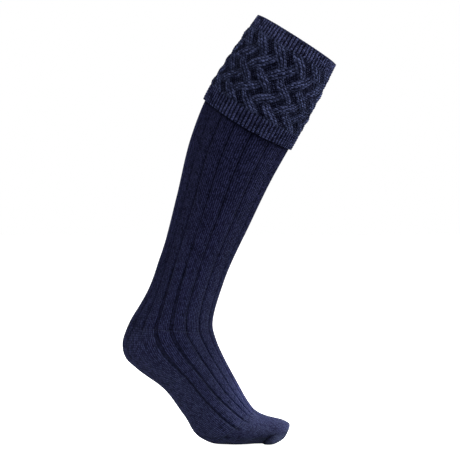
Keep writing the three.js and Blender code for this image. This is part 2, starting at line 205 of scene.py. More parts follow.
footRows = {
    "heelEnd": (0.144, 0.436, 1.11, 0.76, -24.3, 0.0, 21),
    "arch": (0.309, 0.647, 1.0, 0.84, -33.0, 0.06, 29.5),
    "ball": (0.436, 0.816, 0.953, 0.97, -35.5, 0.16, 46),
    "toeSeam": (0.513, 0.861, 0.85, 1.0, -38.6, 0.24, 50),
    "toeRoot": (0.602, 0.88, 0.722, 0.99, -41.8, 0.28, 50),
    "toes": (0.846, 0.904, 0.475, 0.86, -57.7, 0.2, 30),
    "toeFront": (0.931, 0.913, 0.44, 0.8, -62.2, 0.1, 20),
    "tip": (1.0, 0.908, 0.4, 0.76, -64.0, 0.0, 12),
}

def layOutForm():
    s = formSizes
    rows, names = [], []
    ankleX, ankleZ = -s["legLean"], -s["legDrop"]
    stretches = (
        (legRows, 0.0, 0.0, s["legLean"], s["legDrop"], s["calfDepth"], s["calfWidth"]),
        (heelRows, ankleX, ankleZ, s["footReach"], s["footDrop"], s["heelDepth"], s["heelWidth"]),
        (footRows, ankleX, ankleZ, s["footReach"], s["footDrop"], s["footDepth"], s["ballWidth"]),
    )
    for table, startX, startZ, reach, drop, depth, width in stretches:
        for name, (forward, down, deep, wide, tilt, flat, swing) in table.items():
            names.append(name)
            rows.append((startX + forward * reach, startZ - down * drop, deep * depth / 2,
                         wide * width / 2, math.radians(tilt), flat, swing))
    values = np.array(rows)
    steps = np.hypot(np.diff(values[:, 0]), np.diff(values[:, 1]))
    places = np.concatenate([[0.0], np.cumsum(steps)])
    return names, values, places

sectionNames, sectionValues, sectionPlaces = layOutForm()

def sectionSlopes():
    stepSlopes = np.diff(sectionValues, axis=0) / np.diff(sectionPlaces)[:, None]
    steps = np.diff(sectionPlaces)[:, None]
    slopes = np.zeros_like(sectionValues)
    slopes[1:-1] = (steps[:-1] * stepSlopes[1:] + steps[1:] * stepSlopes[:-1]) / (steps[:-1] + steps[1:])
    return slopes

sectionGrades = sectionSlopes()

def placeOf(name):
    return sectionPlaces[sectionNames.index(name)]

def sectionAt(place):
    index = np.clip(np.searchsorted(sectionPlaces, place, side="right") - 1, 0, len(sectionPlaces) - 2)
    step = sectionPlaces[index + 1] - sectionPlaces[index]
    t = ((place - sectionPlaces[index]) / step)[..., None]
    step = step[..., None]
    low, high = sectionValues[index], sectionValues[index + 1]
    return (low + (high - low) * (3 * t**2 - 2 * t**3)
            + sectionGrades[index] * step * (t**3 - 2 * t**2 + t)
            + sectionGrades[index + 1] * step * (t**3 - t**2))

tipPlace = sectionPlaces[-1]
roundingStart = placeOf("toes")
toeSquareness = 2.7   # 2 would round the toe off as a plain ellipse

def formPoint(place, angle):
    row = sectionAt(place)
    share = np.clip((place - roundingStart) / (tipPlace - roundingStart), 0, 1)
    keep = (1 - share**toeSquareness) ** (1 / toeSquareness)
    sine = np.sin(angle)
    along = (-np.cos(angle) - row[..., 5] * sine**2) * row[..., 2] * keep
    return np.stack([row[..., 0] + along * np.cos(row[..., 4]),
                     -sine * row[..., 3] * keep,
                     row[..., 1] - along * np.sin(row[..., 4])], axis=-1)

def raisedPoint(place, angle, height):
    step, turnStep = 0.0002, 0.004   # metres and radians to either side, to find which way is out
    near = np.minimum(place, tipPlace - 2 * step)
    downward = formPoint(near + step, angle) - formPoint(near - step, angle)
    around = formPoint(near, angle + turnStep) - formPoint(near, angle - turnStep)
    out = np.cross(downward, around)
    out /= np.maximum(np.linalg.norm(out, axis=-1, keepdims=True), 1e-12)
    return formPoint(place, angle) + out * np.asarray(height)[..., None]

def ribAngle(place, turn):
    crowding = math.radians(18.5)   # the ribs sit closer together at the back of the leg
    backSwing = 0.25                # and near the back they swing further than near the front
    turn = turn % 1.0
    half = np.where(turn <= 0.5, 2 * turn, 2 * (1 - turn))
    plain = np.pi * half - crowding * np.sin(np.pi * half)
    push = np.sin(plain) + backSwing * np.sin(2 * plain)
    angle = plain + np.radians(sectionAt(place)[..., 6]) * push
    return np.where(turn <= 0.5, angle, 2 * np.pi - angle)

print("form laid out, %.0f mm along the middle" % (tipPlace * 1000))

# grids of points become closed walls, one object a piece
def gridFaces(first, rows, columns, closed, flip=False):
    faces = []
    across = columns if closed else columns - 1
    for row in range(rows - 1):
        for column in range(across):
            nextColumn = (column + 1) % columns
            a = first + row * columns + column
            b = first + row * columns + nextColumn
            c = first + (row + 1) * columns + nextColumn
            d = first + (row + 1) * columns + column
            faces.append((a, b, c, d) if flip else (a, d, c, b))
    return faces

def makePiece(name, points, faces, cornerUvs, pointShades, faceSlots, materials, node, rimCount=0):
    mesh = bpy.data.meshes.new(name)
    mesh.from_pydata([tuple(p) for p in points], [], faces)
    uvLayer = mesh.uv_layers.new(name="stitches")
    uvLayer.data.foreach_set("uv", np.asarray(cornerUvs, dtype=np.float32).ravel())
    # a second uv layer carries the painted shade of each point: darkness painted where shade falls between
    # ribs, stitches and strands
    shadeLayer = mesh.uv_layers.new(name="recess")
    corners = np.concatenate([np.asarray(face) for face in faces])
    paintedShades = np.stack([np.asarray(pointShades)[corners], np.zeros(len(corners))], axis=-1)
    shadeLayer.data.foreach_set("uv", paintedShades.astype(np.float32).ravel())
    for material in materials:
        mesh.materials.append(material)
    mesh.polygons.foreach_set("material_index", np.asarray(faceSlots, dtype=np.int32))
    smooth = np.arange(len(faces)) < len(faces) - rimCount   # flat rims leave no light line at a seam
    mesh.polygons.foreach_set("use_smooth", smooth)
    mesh.update()
    piece = bpy.data.objects.new(name, mesh)
    bpy.context.scene.collection.objects.link(piece)
    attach(piece, "root")
    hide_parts(node)
    print("made", name, "with", len(faces), "faces")

def wrappedUvs(faces, uvPoints, across):
    # where a tube closes, the last column of faces runs on instead of jumping back to 0
    uvs = []
    for face in faces:
        corner = uvPoints[list(face)].copy()
        corner[corner[:, 0] < corner[:, 0].max() - across / 2, 0] += across
        uvs.append(corner)
    return np.concatenate(uvs)

def edgeFaces(upper, lower, closed):
    count = len(upper)
    last = count if closed else count - 1
    return [(upper[i], lower[i], lower[(i + 1) % count], upper[(i + 1) % count]) for i in range(last)]

def shellPiece(name, places, turns, heightOf, paintedShadeOf, innerRows, wall, closed, wool, node):
    # outer skin at full detail, inner skin with fewer rows, joined round every edge
    columns = len(turns)
    placeGrid, turnGrid = np.meshgrid(places, turns, indexing="ij")
    outer = raisedPoint(placeGrid, ribAngle(placeGrid, turnGrid), heightOf(placeGrid, turnGrid))
    stride = np.unique(np.linspace(0, len(places) - 1, innerRows).astype(int))
    innerPlaceGrid, innerTurnGrid = np.meshgrid(places[stride], turns, indexing="ij")
    inner = raisedPoint(innerPlaceGrid, ribAngle(innerPlaceGrid, innerTurnGrid),
                        np.full(innerPlaceGrid.shape, -wall))
    points = np.concatenate([outer.reshape(-1, 3), inner.reshape(-1, 3)])
    innerFirst = outer.shape[0] * columns
    outerFaces = gridFaces(0, outer.shape[0], columns, closed)
    innerFaces = gridFaces(innerFirst, inner.shape[0], columns, closed, flip=True)
    lastOuter = innerFirst - columns
    lastInner = innerFirst + (inner.shape[0] - 1) * columns
    rims = edgeFaces(list(range(innerFirst, innerFirst + columns)), list(range(columns)), closed)
    rims += edgeFaces(list(range(lastOuter, lastOuter + columns)),
                      list(range(lastInner, lastInner + columns)), closed)
    if not closed:
        # at the side edges each step inside spans several rows outside, in one face of many corners
        for side in (0, columns - 1):
            for k in range(len(stride) - 1):
                outerSide = [row * columns + side for row in range(stride[k], stride[k + 1] + 1)]
                innerHigh = innerFirst + k * columns + side
                innerLow = innerFirst + (k + 1) * columns + side
                ring = outerSide + [innerLow, innerHigh]
                rims.append(tuple(ring if side == 0 else ring[::-1]))
    faces = outerFaces + innerFaces + rims
    uvPoints = np.concatenate([
        np.stack([turnGrid * uvLeg[0], placeGrid * uvLeg[1]], axis=-1).reshape(-1, 2),
        np.stack([innerTurnGrid * uvLeg[0], innerPlaceGrid * uvLeg[1]], axis=-1).reshape(-1, 2)])
    faceSlots = [0] * len(outerFaces) + [1] * (len(innerFaces) + len(rims))
    paintedShades = np.concatenate([paintedShadeOf(placeGrid, turnGrid).ravel(), np.zeros(innerPlaceGrid.size)])
    makePiece(name, points, faces, wrappedUvs(faces, uvPoints, uvLeg[0]), paintedShades, faceSlots,
              [wool, insideWool], node, len(rims))

# the knit's stitches and fibres as shader groups
def startGroup(name, inputs, outputs):
    group = bpy.data.node_groups.new(name, "ShaderNodeTree")
    for label, kind, value in inputs:
        socket = group.interface.new_socket(label, in_out="INPUT", socket_type=kind)
        if value is not None:
            socket.default_value = value
    for label, kind in outputs:
        group.interface.new_socket(label, in_out="OUTPUT", socket_type=kind)
    entry = group.nodes.new("NodeGroupInput")
    leave = group.nodes.new("NodeGroupOutput")
    return group, entry, leave

def hump(tree, share):
    # 0 at both ends of a share from 0 to 1, and 1 in its middle
    centred = calc(tree, "MULTIPLY_ADD", share, 2.0, -1.0)
    return calc(tree, "SUBTRACT", 1.0, calc(tree, "MULTIPLY", centred, centred))

stitchOutputs = [(label, "NodeSocketFloat") for label in ("Height", "Gap Shade", "Stitch Tone")]
gapPower = 3.0   # how narrow the painted shade in the gaps between stitches is

def finishStitch(group, leave, height, column, row):
    # painted shade in the gap where the yarn is low, and one tone for each stitch
    group.links.new(height, leave.inputs["Height"])
    gap = calc(group, "POWER", calc(group, "SUBTRACT", 1.0, height), gapPower)
    group.links.new(gap, leave.inputs["Gap Shade"])
    cell = group.nodes.new("ShaderNodeCombineXYZ")
    group.links.new(calc(group, "FLOOR", column), cell.inputs["X"])
    group.links.new(calc(group, "FLOOR", row), cell.inputs["Y"])
    noise = group.nodes.new("ShaderNodeTexWhiteNoise")
    noise.noise_dimensions = "2D"
    group.links.new(cell.outputs[0], noise.inputs["Vector"])
    group.links.new(noise.outputs["Value"], leave.inputs["Stitch Tone"])

def buildPlainStitch():
    # the v of each plain stitch: two slanted legs of yarn, column by column
    group, entry, leave = startGroup("plainStitch", [
        ("Stitches", "NodeSocketVector", None), ("Slant", "NodeSocketFloat", 0.55)], stitchOutputs)
    split = group.nodes.new("ShaderNodeSeparateXYZ")
    group.links.new(entry.outputs["Stitches"], split.inputs[0])
    column = calc(group, "FRACT", split.outputs["X"])
    side = calc(group, "ABSOLUTE", calc(group, "MULTIPLY_ADD", column, 2.0, -1.0))
    slant = calc(group, "MULTIPLY", side, entry.outputs["Slant"])
    sheared = calc(group, "SUBTRACT", split.outputs["Y"], slant)
    legRound = hump(group, calc(group, "FRACT", sheared))
    sideRound = calc(group, "POWER", hump(group, side), 0.6)   # below 1, so each leg is blunt at its edges
    height = calc(group, "MULTIPLY", legRound, sideRound)
    finishStitch(group, leave, height, calc(group, "MULTIPLY", split.outputs["X"], 2.0), sheared)
    return group

def buildPurlStitch():
    # the back of the knit: short level bumps, each row set half a stitch aside
    group, entry, leave = startGroup("purlStitch", [("Stitches", "NodeSocketVector", None)], stitchOutputs)
    split = group.nodes.new("ShaderNodeSeparateXYZ")
    group.links.new(entry.outputs["Stitches"], split.inputs[0])
    doubled = calc(group, "MULTIPLY", split.outputs["Y"], 2.0)
    row = calc(group, "FLOOR", doubled)
    shifted = calc(group, "MULTIPLY_ADD", row, 0.5, split.outputs["X"])
    bump = calc(group, "MULTIPLY", hump(group, calc(group, "FRACT", doubled)),
                hump(group, calc(group, "FRACT", shifted)))
    finishStitch(group, leave, bump, shifted, row)
    return group

def buildWoolFibre():
    # fine fibres for the surface, and slow clouds of tone from the dyed yarn
    group, entry, leave = startGroup("woolFibre", [
        ("Fibre Scale", "NodeSocketFloat", 1400.0), ("Cloud Scale", "NodeSocketFloat", 22.0)],
        [("Fibre", "NodeSocketFloat"), ("Cloud", "NodeSocketFloat")])
    place = group.nodes.new("ShaderNodeTexCoord")
    for label, scale, detail in (("Fibre", "Fibre Scale", 3.0), ("Cloud", "Cloud Scale", 2.0)):
        noise = group.nodes.new("ShaderNodeTexNoise")
        noise.inputs["Detail"].default_value = detail
        group.links.new(place.outputs["Object"], noise.inputs["Vector"])
        group.links.new(entry.outputs[scale], noise.inputs["Scale"])
        group.links.new(noise.outputs["Fac"], leave.inputs[label])
    return group

plainStitch = buildPlainStitch()
purlStitch = buildPurlStitch()
woolFibre = buildWoolFibre()

def placeGroup(tree, group):
    node = tree.nodes.new("ShaderNodeGroup")
    node.node_tree = group
    return node

def mixColour(tree, share, first, second):
    node = tree.nodes.new("ShaderNodeMix")
    node.data_type = "RGBA"
    plug(tree, node.inputs["Factor"], share)
    # a mix node's colours are its inputs 6 and 7 and its output 2
    for socket, value in ((node.inputs[6], first), (node.inputs[7], second)):
        if isinstance(value, tuple):
            socket.default_value = (*value, 1)
        else:
            tree.links.new(value, socket)
    return node.outputs[2]

def woolMaterial(name, look):
    material = bpy.data.materials.new(name)
    material.use_nodes = True
    tree = material.node_tree
    shader = tree.nodes["Principled BSDF"]
    shader.inputs["Sheen Weight"].default_value = look["sheen"]
    shader.inputs["Sheen Roughness"].default_value = look["sheenRoughness"]
    shader.inputs["Sheen Tint"].default_value = (*look["sheenTint"], 1)
    shader.inputs["Specular IOR Level"].default_value = look["specular"]
    uv = tree.nodes.new("ShaderNodeUVMap")
    uv.uv_map = "stitches"
    stitch = placeGroup(tree, look["stitch"])
    tree.links.new(uv.outputs["UV"], stitch.inputs["Stitches"])
    fibre = placeGroup(tree, woolFibre)
    fibre.inputs["Fibre Scale"].default_value = look["fibreScale"]
    toned = mixColour(tree, stitch.outputs["Stitch Tone"], look["dark"], look["light"])
    clouds = calc(tree, "MULTIPLY", fibre.outputs["Cloud"], look["cloud"])
    clouded = mixColour(tree, clouds, toned, look["light"])
    fuzz = calc(tree, "POWER", fibre.outputs["Fibre"], look["fuzzPower"])
    fuzz = calc(tree, "MULTIPLY", fuzz, look["fuzz"])
    fuzzed = mixColour(tree, fuzz, clouded, look["fuzzColour"])
    # painted shade: the colour darkens towards the gap colour in the gaps between stitch legs, and again by
    # each point's painted shade
    gapShades = calc(tree, "MULTIPLY", stitch.outputs["Gap Shade"], look["gapShade"])
    shaded = mixColour(tree, gapShades, fuzzed, look["gap"])
    recess = tree.nodes.new("ShaderNodeUVMap")   # the painted shade of each point, darkest where it lies deep between ribs and stitches
    recess.uv_map = "recess"
    depth = tree.nodes.new("ShaderNodeSeparateXYZ")
    tree.links.new(recess.outputs["UV"], depth.inputs[0])
    sunk = calc(tree, "POWER", calc(tree, "MAXIMUM", depth.outputs["X"], 0.0), look["recessCurve"])
    shaded = mixColour(tree, calc(tree, "MULTIPLY", sunk, look["recessShade"]), shaded, look["gap"])
    tree.links.new(shaded, shader.inputs["Base Color"])
    smoothest = look["roughness"] - look["roughnessRange"] / 2
    rough = calc(tree, "MULTIPLY_ADD", fibre.outputs["Fibre"], look["roughnessRange"], smoothest)
    tree.links.new(rough, shader.inputs["Roughness"])
    bump = tree.nodes.new("ShaderNodeBump")
    bump.inputs["Strength"].default_value = look["bump"]
    bump.inputs["Distance"].default_value = look["bumpDistance"]
    relief = calc(tree, "MULTIPLY_ADD", fibre.outputs["Fibre"], look["fibreRelief"],
                  stitch.outputs["Height"])
    tree.links.new(relief, bump.inputs["Height"])
    tree.links.new(bump.outputs["Normal"], shader.inputs["Normal"])
    return material

# gap is the colour of the painted shade between stitches and in the hollows
navyWool = {
    "stitch": plainStitch, "dark": (0.0036, 0.0041, 0.0155), "light": (0.0425, 0.0455, 0.1260),
    "gap": (0.0008, 0.0009, 0.0035), "gapShade": 0.6, "cloud": 0.15,
    "fuzz": 0.4, "fuzzPower": 3.0, "fuzzColour": (0.045, 0.048, 0.115),
    "fibreScale": 1400.0, "fibreRelief": 0.35,
    "recessShade": 0.97, "recessCurve": 0.9,
    "sheen": 0.05, "sheenRoughness": 0.22, "sheenTint": (0.55, 0.62, 1.0), "specular": 0.0,
    "roughness": 0.9, "roughnessRange": 0.2, "bump": 1.0, "bumpDistance": 0.0007,
}
cuffWool = navyWool | {"bumpDistance": 0.0012, "fibreScale": 1100.0, "recessShade": 1.0}   # thicker yarn
legWool = woolMaterial("legWool", navyWool)
footWool = woolMaterial("footWool", navyWool | {
    "dark": (0.0040, 0.0045, 0.0158), "light": (0.0435, 0.0470, 0.1220)})
insideWool = woolMaterial("insideWool", navyWool | {"stitch": purlStitch, "sheen": 0.0})
bandWool = woolMaterial("bandWool", cuffWool | {
    "dark": (0.006, 0.007, 0.021), "light": (0.068, 0.078, 0.190), "fuzzColour": (0.075, 0.085, 0.20)})
# a lighter copy of the band's wool: painted light on the fold at the top of the cuff
litFoldWool = woolMaterial("litFoldWool", cuffWool | {
    "dark": (0.009, 0.010, 0.028), "light": (0.105, 0.120, 0.275), "fuzzColour": (0.100, 0.112, 0.24)})
strandWool = woolMaterial("strandWool", cuffWool | {
    "dark": (0.005, 0.006, 0.018), "light": (0.118, 0.142, 0.305), "fuzzColour": (0.080, 0.093, 0.205)})
groundWool = woolMaterial("groundWool", cuffWool | {
    "stitch": purlStitch, "dark": (0.008, 0.009, 0.025), "light": (0.085, 0.100, 0.220),
    "fibreScale": navyWool["fibreScale"]})
print("wool ready")

# wide ribs of the leg and instep
ribbing = {
    "count": 17, "walesPerRib": 8, "pointsPerWale": 4, "toePointsPerWale": 2,
    "grooveDepth": 0.0012, "grooveWidth": 0.055,
    "footGrooveWidth": 0.075,    # on the instep
    "doubleSpread": 0.10,        # the two grooves along the side of the foot are wide, with a flat floor
    "doubleGrooves": (3, 4), "doubleFrom": 0.30, "doubleFull": 0.38, "doubleEnd": 0.50,
    "doubleLeast": 0.25,         # and stay this share as wide up to the toe
    "floorFrom": 0.05,           # as wide as this, the floor lifts and has a low ridge in its middle
    "floorLift": 0.12, "floorRidge": 0.40, "ridgeReach": 0.6,
    "sideGroove": 3.5,           # in ribs from the back, where heel and sole meet the instep
    "crown": 0.0004, "waleRelief": 0.0005, "waleShade": 0.95, "plainShade": 0.85, "valleyPower": 0.6,
    "course": 0.0021,            # the height of one stitch
    "wall": 0.0022, "soleWall": 0.0026, "toeWall": 0.0024, "innerRows": 30, "soleInnerRows": 16,
    "legRowStep": 0.0038, "hemRowStep": 0.0011, "heelRowStep": 0.0028,
    "aboveHem": 0.002, "belowHem": 0.014,      # where the leg's rows are closest together
    "heelFade": 0.014, "heelFadePower": 1.5,   # how far the ribs run on over the heel
    "hemShade": 0.95, "hemShadeReach": 0.0042,
}
wales = ribbing["count"] * ribbing["walesPerRib"]
uvLeg = (wales, 1 / ribbing["course"])

def ribPhase(turn):
    return (turn * ribbing["count"] - 0.5) % 1.0   # 0 in the groove, 0.5 on the rib's crown

def waleValley(turn):
    # 1 between two columns of stitches, 0 on their crests
    return (1 - np.abs(np.sin(np.pi * turn * wales))) ** ribbing["valleyPower"]

def waleRipple(turn):
    return -waleValley(turn) * ribbing["waleRelief"]

def grooveShape(place, turn):
    # how wide a groove is, and the width of its flat floor
    number = np.floor((turn % 1.0) * ribbing["count"])
    number = np.minimum(number, ribbing["count"] - 1 - number)
    double = np.isin(number, ribbing["doubleGrooves"])
    start, full, end = ribbing["doubleFrom"], ribbing["doubleFull"], ribbing["doubleEnd"]
    opens = np.clip((place - start) / (full - start), 0, 1)
    closes = np.clip((end - place) / (end - full), ribbing["doubleLeast"], 1)
    width = ribbing["grooveWidth"] + (ribbing["footGrooveWidth"] - ribbing["grooveWidth"]) * opens
    return width, double * ribbing["doubleSpread"] * opens * closes

def grooveShare(place, turn):
    phase = ribPhase(turn)
    aside = np.minimum(phase, 1 - phase)
    width, spread = grooveShape(place, turn)
    double = np.clip(spread / ribbing["floorFrom"], 0, 1)
    ridgeWidth = np.maximum(ribbing["ridgeReach"] * spread, 0.001)   # a narrow groove has no spread at all
    ridge = np.exp(-(aside / ridgeWidth) ** 2)
    floor = 1 - double * (ribbing["floorLift"] + ribbing["floorRidge"] * ridge)
    return floor * np.exp(-(np.maximum(aside - spread, 0) / width) ** 2)

def ribRelief(place, turn):
    fall = ribbing["crown"] * (2 * ribPhase(turn) - 1) ** 2   # the round of each rib
    return fall + ribbing["grooveDepth"] * grooveShare(place, turn)

def ribbedHeight(place, turn):
    return waleRipple(turn) - ribRelief(place, turn)

def hemShade(place, turn):
    # painted shadow: the dark line on the leg just under the hem of the cuff
    hem = cuff["height"] + cuff["hemDip"] * np.sin(ribAngle(place, turn)) ** 2
    past = np.maximum(place - hem, 0)
    return ribbing["hemShade"] * np.exp(-(past / ribbing["hemShadeReach"]) ** 2)

def ribbedPaintedShade(place, turn):
    # painted shade in the grooves and between the wales, and the painted shadow under the hem
    dark = np.maximum(grooveShare(place, turn), ribbing["waleShade"] * waleValley(turn))
    return np.maximum(dark, hemShade(place, turn))

grooveTurn = ribbing["sideGroove"] / ribbing["count"]

def plainShare(place, turn):
    # 0 where the ribs of the leg run on over the heel, and along the groove at each side, 1 elsewhere
    aside = (grooveTurn - np.minimum(turn % 1.0, -turn % 1.0)) * ribbing["count"]
    width = grooveShape(place, turn)[0]
    border = np.exp(-(np.maximum(aside - ribbing["doubleSpread"], 0) / width) ** 2)
    fade = np.clip(1 - (place - placeOf("heelTop")) / ribbing["heelFade"], 0, 1)
    return 1 - np.maximum(border, fade ** ribbing["heelFadePower"])

def underHeight(place, turn):
    return waleRipple(turn) - (1 - plainShare(place, turn)) * ribRelief(place, turn)

# painted shade between the wales of the plain knit, and in the grooves where the ribs run on
def plainPaintedShade(turn):
    return ribbing["plainShade"] * waleValley(turn)

def underPaintedShade(place, turn):
    groove = (1 - plainShare(place, turn)) * grooveShare(place, turn)
    return np.maximum(groove, plainPaintedShade(turn))

cuff = {
    "height": 0.123, "foldBand": 0.024, "edgeBand": 0.019, "wall": 0.003, "gap": 0.0004,
    "hemDip": 0.0055,     # how much lower the cuff hangs at the sides of the leg
    "foldTurn": 0.006,    # how far down inside the fold the knit runs before the leg begins
}

def stepsBetween(low, high, step):
    return np.linspace(low, high, max(2, int(round((high - low) / step)) + 1))

def makeLeg():
    columns = wales * ribbing["pointsPerWale"]
    turns = np.arange(columns) / columns
    nearHem = (cuff["height"] - ribbing["aboveHem"], cuff["height"] + ribbing["belowHem"])
    places = np.unique(np.concatenate([
        stepsBetween(cuff["foldTurn"], nearHem[0], 2 * ribbing["legRowStep"]),   # hidden under the cuff
        stepsBetween(nearHem[0], nearHem[1], ribbing["hemRowStep"]),
        stepsBetween(nearHem[1], placeOf("heelTop"), ribbing["legRowStep"])]))
    shellPiece("leg_knit", places, turns, ribbedHeight, ribbedPaintedShade, ribbing["innerRows"],
               ribbing["wall"], True, legWool, "leg")

def panelTurns(low, high):
    return np.linspace(low, high, int(round((high - low) * wales * ribbing["pointsPerWale"])) + 1)

def makeFoot():
    underTurns = panelTurns(-grooveTurn, grooveTurn)
    heelTop, heelEnd, toeStart = placeOf("heelTop"), placeOf("heelEnd"), placeOf("toeSeam")
    step = ribbing["heelRowStep"]
    shellPiece("instep_knit", stepsBetween(heelTop, toeStart, step), panelTurns(grooveTurn, 1 - grooveTurn),
               ribbedHeight, ribbedPaintedShade, ribbing["innerRows"], ribbing["wall"], False, legWool,
               "instep")
    for node, start, end in (("heel", heelTop, heelEnd), ("sole", heelEnd, toeStart)):
        shellPiece(node + "_knit", stepsBetween(start, end, step), underTurns, underHeight, underPaintedShade,
                   ribbing["soleInnerRows"], ribbing["soleWall"], False, footWool, node)

toeCrease = {
    "start": 0.5929, "bendAngle": math.radians(70), "bend": 0.017, "bendPower": 2.35,
    "fullFrom": 0.4, "fades": math.radians(132), "fadeOver": math.radians(45),   # angles from below
    # stepShade is the painted shade over the sunk patch behind the crease
    "depth": 0.0020, "width": 0.0011, "step": 0.0014, "reach": 0.020, "stepShade": 0.50,
    "fineFrom": 0.009, "rowStep": 0.0008, "farRowStep": 0.0022,   # rows are closest near the crease
    "tipRows": 40,
    "ribFade": 0.012, "ribsFrom": math.radians(60),   # how far the ribs of the instep run on over the toe
}

def creaseShares(place, angle):
    # a fold that runs up from under the toes on the side towards the camera, and the sunk patch behind it
    bend = np.maximum(angle - toeCrease["bendAngle"], 0) ** toeCrease["bendPower"]
    line = toeCrease["start"] + toeCrease["bend"] * bend
    strength = np.clip((toeCrease["fades"] - angle) / toeCrease["fadeOver"], 0, 1)
    strength = strength * np.clip(angle / toeCrease["fullFrom"], 0, 1)
    fold = strength * np.exp(-((place - line) / toeCrease["width"]) ** 2)
    behind = line - place
    patch = strength * np.exp(-(np.maximum(behind, 0) / toeCrease["reach"]) ** 2)
    return fold, patch * np.clip(behind / toeCrease["width"] + 0.5, 0, 1)

def toeRibs(place):
    return np.clip(1 - (place - placeOf("toeSeam")) / toeCrease["ribFade"], 0, 1)

def makeToe():
    columns = wales * ribbing["toePointsPerWale"]
    turns = np.arange(columns) / columns
    nearFold = toeCrease["start"] - toeCrease["fineFrom"]
    swell = np.sin(np.linspace(0, np.pi / 2, toeCrease["tipRows"]))[1:-1]
    places = np.concatenate([
        stepsBetween(placeOf("toeSeam"), nearFold, toeCrease["farRowStep"])[:-1],
        stepsBetween(nearFold, roundingStart, toeCrease["rowStep"]),
        roundingStart + (tipPlace - roundingStart) * swell])
    wall = ribbing["toeWall"]
    placeGrid, turnGrid = np.meshgrid(places, turns, indexing="ij")
    angleGrid = ribAngle(placeGrid, turnGrid)
    fold, patch = creaseShares(placeGrid, angleGrid)
    sunk = toeCrease["depth"] * fold + toeCrease["step"] * patch
    onTop = np.cos(angleGrid) < math.cos(toeCrease["ribsFrom"])
    ribs = toeRibs(placeGrid) * onTop
    heights = waleRipple(turnGrid) - ribs * ribRelief(placeGrid, turnGrid) - sunk
    outer = raisedPoint(placeGrid, angleGrid, heights)
    inner = raisedPoint(placeGrid, angleGrid, -wall - sunk)
    tip = formPoint(np.array(tipPlace), np.array(0.0))
    innerTip = tip - np.array([wall, 0, 0])
    points = np.concatenate([outer.reshape(-1, 3), inner.reshape(-1, 3), [tip], [innerTip]])
    rows, size = len(places), len(places) * columns
    outerFaces = gridFaces(0, rows, columns, True)
    innerFaces = gridFaces(size, rows, columns, True, flip=True)
    lastRow = (rows - 1) * columns
    tipFaces, innerTipFaces = [], []
    for i in range(columns):
        j = (i + 1) % columns
        tipFaces.append((lastRow + i, 2 * size, lastRow + j))
        innerTipFaces.append((size + lastRow + j, 2 * size + 1, size + lastRow + i))
    rims = edgeFaces(list(range(size, size + columns)), list(range(columns)), True)
    faces = outerFaces + tipFaces + innerFaces + innerTipFaces + rims
    uvGrid = np.stack([turnGrid * uvLeg[0], placeGrid * uvLeg[1]], axis=-1).reshape(-1, 2)
    tipUv = np.array([[0.0, tipPlace * uvLeg[1]]])
    uvPoints = np.concatenate([uvGrid, uvGrid, tipUv, tipUv])
    faceSlots = [0] * (len(outerFaces) + len(tipFaces))
    faceSlots += [1] * (len(innerFaces) + len(innerTipFaces) + len(rims))
    # painted shade between the wales, in the grooves, in the crease, and over the sunk patch behind it
    recess = np.maximum(plainPaintedShade(turnGrid), ribs * grooveShare(placeGrid, turnGrid))
    recess = np.maximum(recess, fold)
    recess = recess + (1 - recess) * toeCrease["stepShade"] * patch
    paintedShades = np.concatenate([recess.ravel(), np.zeros(size + 2)])
    makePiece("toe_knit", points, faces, wrappedUvs(faces, uvPoints, uvLeg[0]), paintedShades, faceSlots,
              [footWool, insideWool], "toe", len(rims))

makeLeg()
makeFoot()
makeToe()

# the cuff's turned-down knit
def hemDip(place, turn):
    return place + cuff["hemDip"] * np.maximum(0, place / cuff["height"]) * np.sin(2 * np.pi * turn) ** 2

band = {
    "ribs": 78, "pointsPerRib": 10, "ribDepth": 0.0018, "course": 0.0034, "stitchRelief": 0.0005,
    "rowStep": 0.00075, "foldReach": 0.0045, "stitchShade": 0.4, "ridgePower": 0.9, "valleyPower": 0.5,
    "rimReach": 0.010,        # this far from the fold the valleys are in full shade,
    "rimShade": 0.15,         # and at the fold itself in only this share of it
    "foldFrom": 180, "foldTo": 10, "foldRows": 16,   # over the fold, in degrees
    "welt": 0.0016, "weltFrom": 15, "weltTo": 90, "weltRows": 6,   # the rounded lower edge
    "weltRaised": 0.0003, "weltProud": 0.0004,   # where its underside begins
    "foldNotch": 0.0022,      # how deep the valleys are cut into the top of the fold
    "cornerDrop": 0.0050,     # how far the fold sinks at the front and back of the leg
    "cornerPower": 7,         # the higher, the closer to the front and back
}
uvBand = (band["ribs"], 1 / band["course"])

def bandHeight(place, turn):
    # rounded ribs with a deep narrow valley, and a small swell for each stitch
    phase = (turn * band["ribs"]) % 1.0
    ridge = np.sin(np.pi * phase) ** band["ridgePower"]
    dip = 0.5 - 0.5 * np.cos(2 * np.pi * place / band["course"])
    return cuff["gap"] + cuff["wall"] - band["ribDepth"] * (1 - ridge) - band["stitchRelief"] * dip * ridge

def bandPaintedShade(place, turn):
    # painted shade in the valleys between the ribs and in the dips between stitches, less of it near the
    # fold
    phase = (turn * band["ribs"]) % 1.0
    dip = 0.5 - 0.5 * np.cos(2 * np.pi * place / band["course"])
    valley = (1 - np.sin(np.pi * phase)) ** band["valleyPower"]
    shade = band["rimShade"] + (1 - band["rimShade"]) * np.clip(place / band["rimReach"], 0, 1)
    return shade * np.maximum(valley, band["stitchShade"] * dip**2)

